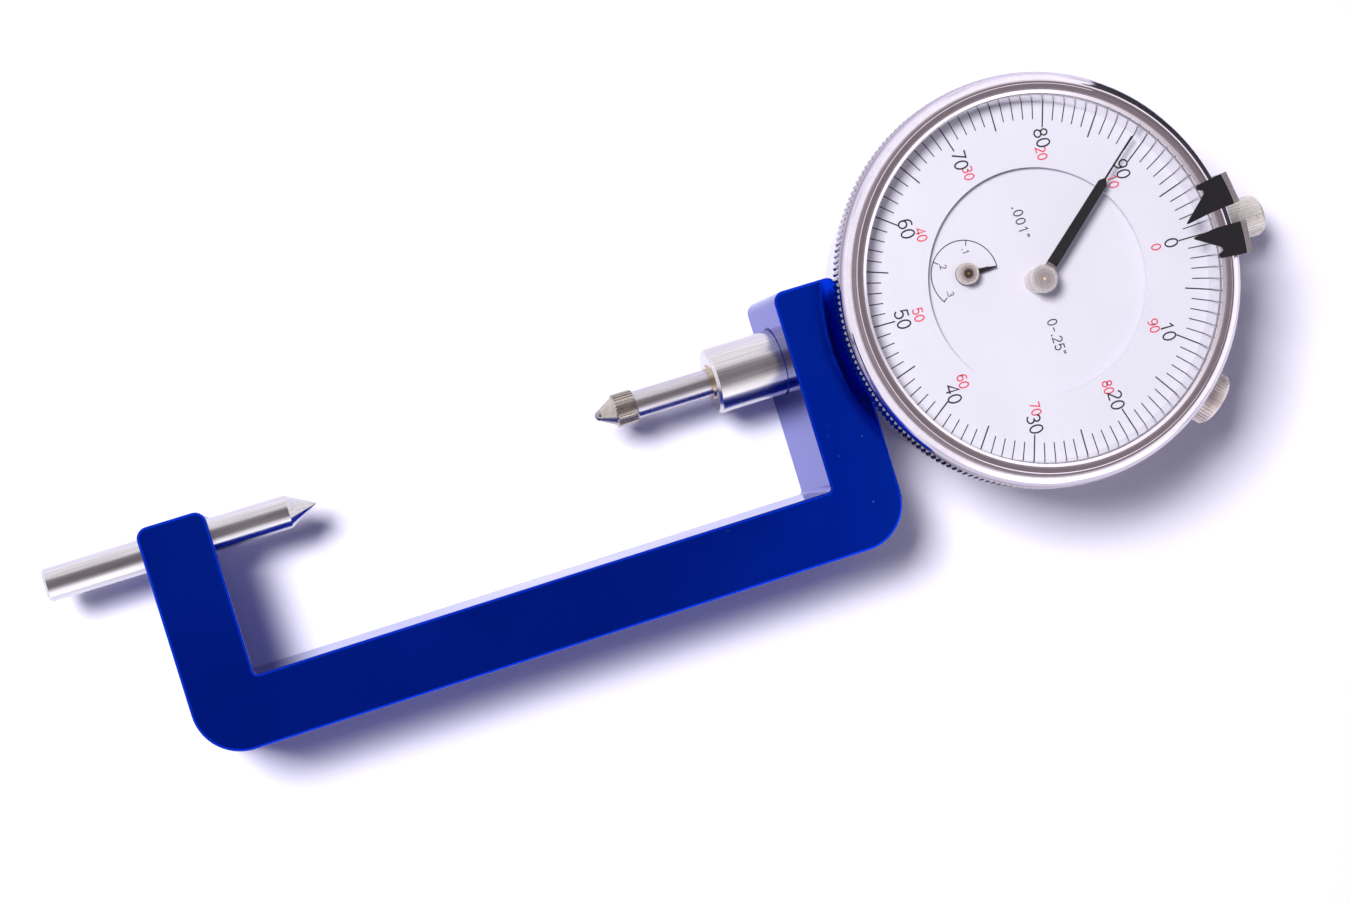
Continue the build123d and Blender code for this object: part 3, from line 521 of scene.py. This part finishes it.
bm = bmesh.new()
text(bm, '.001"', (CX + 0.36 * MM, CY + 8.62 * MM), 1.50 * MM, Z_DISC, UP, 0.17 * MM, spacing=0.12)
text(bm, '0-.25"', (CX + 0.48 * MM, CY - 8.30 * MM), 1.50 * MM, Z_DISC, UP, 0.17 * MM, spacing=0.04)
SX, SY = SUB.x, SUB.y
ARC_R = 4.85 * MM
stroke(bm, [(SX + ARC_R * math.cos(math.radians(a)), SY + ARC_R * math.sin(math.radians(a)))
            for a in [(-2 + 2.0 * i) for i in range(110)]], 0.14 * MM, Z_DISC)
for i in range(4):
    a = math.radians(-1.5 + 72 * i)
    u = (math.cos(a), math.sin(a))
    stroke(bm, [(SX + u[0] * (ARC_R - 0.75 * MM), SY + u[1] * (ARC_R - 0.75 * MM)), (SX + u[0] * (ARC_R + 0.04 * MM), SY + u[1] * (ARC_R + 0.04 * MM))],
           0.14 * MM, Z_DISC)
    text(bm, ("0", ".1", ".2", ".3")[i], (SX + u[0] * 3.35 * MM, SY + u[1] * 3.35 * MM), 0.98 * MM, Z_DISC, UP, 0.12 * MM)
piece("disc_figures", bm, M["ink_black"], "indicator")

# plain boss standing on the inner dial, round the arbor and under the main hand
bm = bmesh.new()
washer(bm, HUB.x, HUB.y, 0.86 * MM, 1.78 * MM, Z_DISC + 0.015 * MM, 26.17 * MM)
piece("dial_boss", bm, M["sub_hub"], "indicator")

# ---------------------------------------------------------------- smooth shading on every CAD mesh but the crystal and any with a weighted-normal modifier
for n, o in NODES.items():
    if n in ("crystal",):
        continue
    me = o.data
    if not any(m.type == "WEIGHTED_NORMAL" for m in o.modifiers):
        for p in me.polygons:
            p.use_smooth = True

# ---------------------------------------------------------------- stage
bm = bmesh.new()
S = 1.6
vs = [bm.verts.new((x, y, 0)) for x, y in ((-S, -S), (S, -S), (S, S), (-S, S))]
bm.faces.new(vs)
me = bpy.data.meshes.new("floor")
bm.to_mesh(me); bm.free()
floor = bpy.data.objects.new("floor", me)
bpy.context.scene.collection.objects.link(floor)
fm, nt, b, out = material("floor_white")
b.inputs["Base Color"].default_value = (0.93, 0.93, 0.95, 1)
b.inputs["Roughness"].default_value = 0.60
b.inputs["Specular IOR Level"].default_value = 0.5
nt.links.new(ramp(nt, noise(nt, coords(nt), 6, 2), [(0.3, (0.865, 0.850, 0.985)), (0.7, (0.885, 0.870, 1.0))]), b.inputs["Base Color"])
floor.data.materials.append(fm)
floor.location.z = -0.00005


def area(name, loc, target, size, power, color=(1, 1, 1), size_y=None):
    l = bpy.data.lights.new(name, "AREA")
    l.energy = power
    l.color = color
    l.shape = "RECTANGLE"
    l.size = size
    l.size_y = size_y or size
    o = bpy.data.objects.new(name, l)
    bpy.context.scene.collection.objects.link(o)
    o.location = loc
    d = Vector(target) - Vector(loc)
    o.rotation_euler = d.to_track_quat("-Z", "Y").to_euler()
    return o


MID = Vector((-0.02, 0.0, 0.01))
key = area("key", MID + Vector((-0.45, 0.36, 1.0)).normalized() * 0.95, MID, 0.30, 13.4, (1.0, 0.985, 0.97))
key.visible_glossy = False

bm = bmesh.new()
pv = []
for i in range(13):
    a = math.radians(-8 + 56 * i / 12)
    pv.append((DIAL.x + 0.074 * math.cos(a), DIAL.y + 0.074 * math.sin(a)))
prism(bm, pv + [(DIAL.x + (x - DIAL.x) * 1.02, DIAL.y + (y - DIAL.y) * 1.02) for x, y in pv[::-1]], 0.0, 0.07)
me = bpy.data.meshes.new("flag")
bm.to_mesh(me); bm.free()
flag = bpy.data.objects.new("flag", me)
bpy.context.scene.collection.objects.link(flag)
gm, gnt, gb, gout = material("flag_black")
gnt.links.new(ramp(gnt, noise(gnt, coords(gnt), 40, 3), [(0.3, (0.02, 0.02, 0.025)), (0.7, (0.05, 0.05, 0.055))]), gb.inputs["Base Color"])
gb.inputs["Roughness"].default_value = 0.9
me.materials.append(gm)
flag.visible_camera = False
flag.visible_diffuse = False
flag.visible_shadow = False
flag.visible_transmission = False

w = bpy.data.worlds.new("studio")
bpy.context.scene.world = w
w.use_nodes = True
nt = w.node_tree
nt.nodes.clear()
wo = nt.nodes.new("ShaderNodeOutputWorld")
bg = nt.nodes.new("ShaderNodeBackground")
lp = nt.nodes.new("ShaderNodeLightPath")
bg_soft = nt.nodes.new("ShaderNodeBackground")
bg_soft.inputs["Strength"].default_value = 0.24
both = nt.nodes.new("ShaderNodeMixShader")
tc = nt.nodes.new("ShaderNodeTexCoord")
sp = nt.nodes.new("ShaderNodeSeparateXYZ")
nt.links.new(tc.outputs["Generated"], sp.inputs[0])
sky_soft = ramp(nt, sp.outputs["Z"], [(0.0, (1.45, 1.41, 1.80)), (0.12, (1.20, 1.16, 1.50)), (0.30, (0.88, 0.85, 1.12)),
                                      (0.52, (0.62, 0.59, 0.80)), (0.80, (0.55, 0.51, 0.74)), (1.0, (0.36, 0.33, 0.50))])
sky = ramp(nt, sp.outputs["Z"], [(0.0, (1.45, 1.43, 1.52)), (0.12, (1.25, 1.22, 1.31)), (0.30, (1.18, 1.15, 1.23)),
                                 (0.55, (1.16, 1.13, 1.20)), (0.74, (1.08, 1.04, 1.11)), (0.84, (0.66, 0.61, 0.65)),
                                 (0.90, (0.33, 0.29, 0.32)), (1.0, (0.255, 0.222, 0.248))])


def dark_card(col, direction, lo, hi, shade):
    """A darker or brighter part of the room in one direction, seen in the polished metal."""
    d = Vector(direction).normalized()
    dt = nt.nodes.new("ShaderNodeVectorMath"); dt.operation = "DOT_PRODUCT"
    nt.links.new(tc.outputs["Generated"], dt.inputs[0])
    dt.inputs[1].default_value = d
    f = to_range(nt, dt.outputs["Value"], 0, 1, lo, hi)
    mx = nt.nodes.new("ShaderNodeMix"); mx.data_type = "RGBA"
    nt.links.new(f, mx.inputs[0])
    nt.links.new(col, mx.inputs[6])
    mx.inputs[7].default_value = (*shade, 1)
    return mx.outputs[2]


nt.links.new(sky_soft, bg_soft.inputs["Color"])
sky = dark_card(sky, (0.10, -0.97, 0.20), 0.80, 0.95, (1.9, 1.86, 2.0))
nt.links.new(sky, bg.inputs["Color"])
nt.links.new(lp.outputs["Is Diffuse Ray"], both.inputs[0])
nt.links.new(bg.outputs[0], both.inputs[1])
nt.links.new(bg_soft.outputs[0], both.inputs[2])
nt.links.new(both.outputs[0], wo.inputs[0])

# ---------------------------------------------------------------- camera
F = 2488.5
LOC = Vector((-0.085949, -0.001423, 0.358350))
RIGHT = Vector((0.939449, -0.294265, 0.175626))
DOWN = Vector((-0.292660, -0.955555, -0.035569))
FWD = Vector((0.178287, -0.017984, -0.983814))
cam = bpy.data.cameras.new("camera")
cam.sensor_width = 36.0
cam.lens = F / 1350 * 36.0
cam.clip_start = 0.01
cam.clip_end = 10
co = bpy.data.objects.new("camera", cam)
bpy.context.scene.collection.objects.link(co)
co.matrix_world = Matrix((
    (RIGHT.x, -DOWN.x, -FWD.x, LOC.x),
    (RIGHT.y, -DOWN.y, -FWD.y, LOC.y),
    (RIGHT.z, -DOWN.z, -FWD.z, LOC.z),
    (0, 0, 0, 1)))
bpy.context.scene.camera = co

vs_ = bpy.context.scene.view_settings
vs_.view_transform = "Standard"
vs_.look = "None"
vs_.exposure = 0.0
vs_.gamma = 1.0
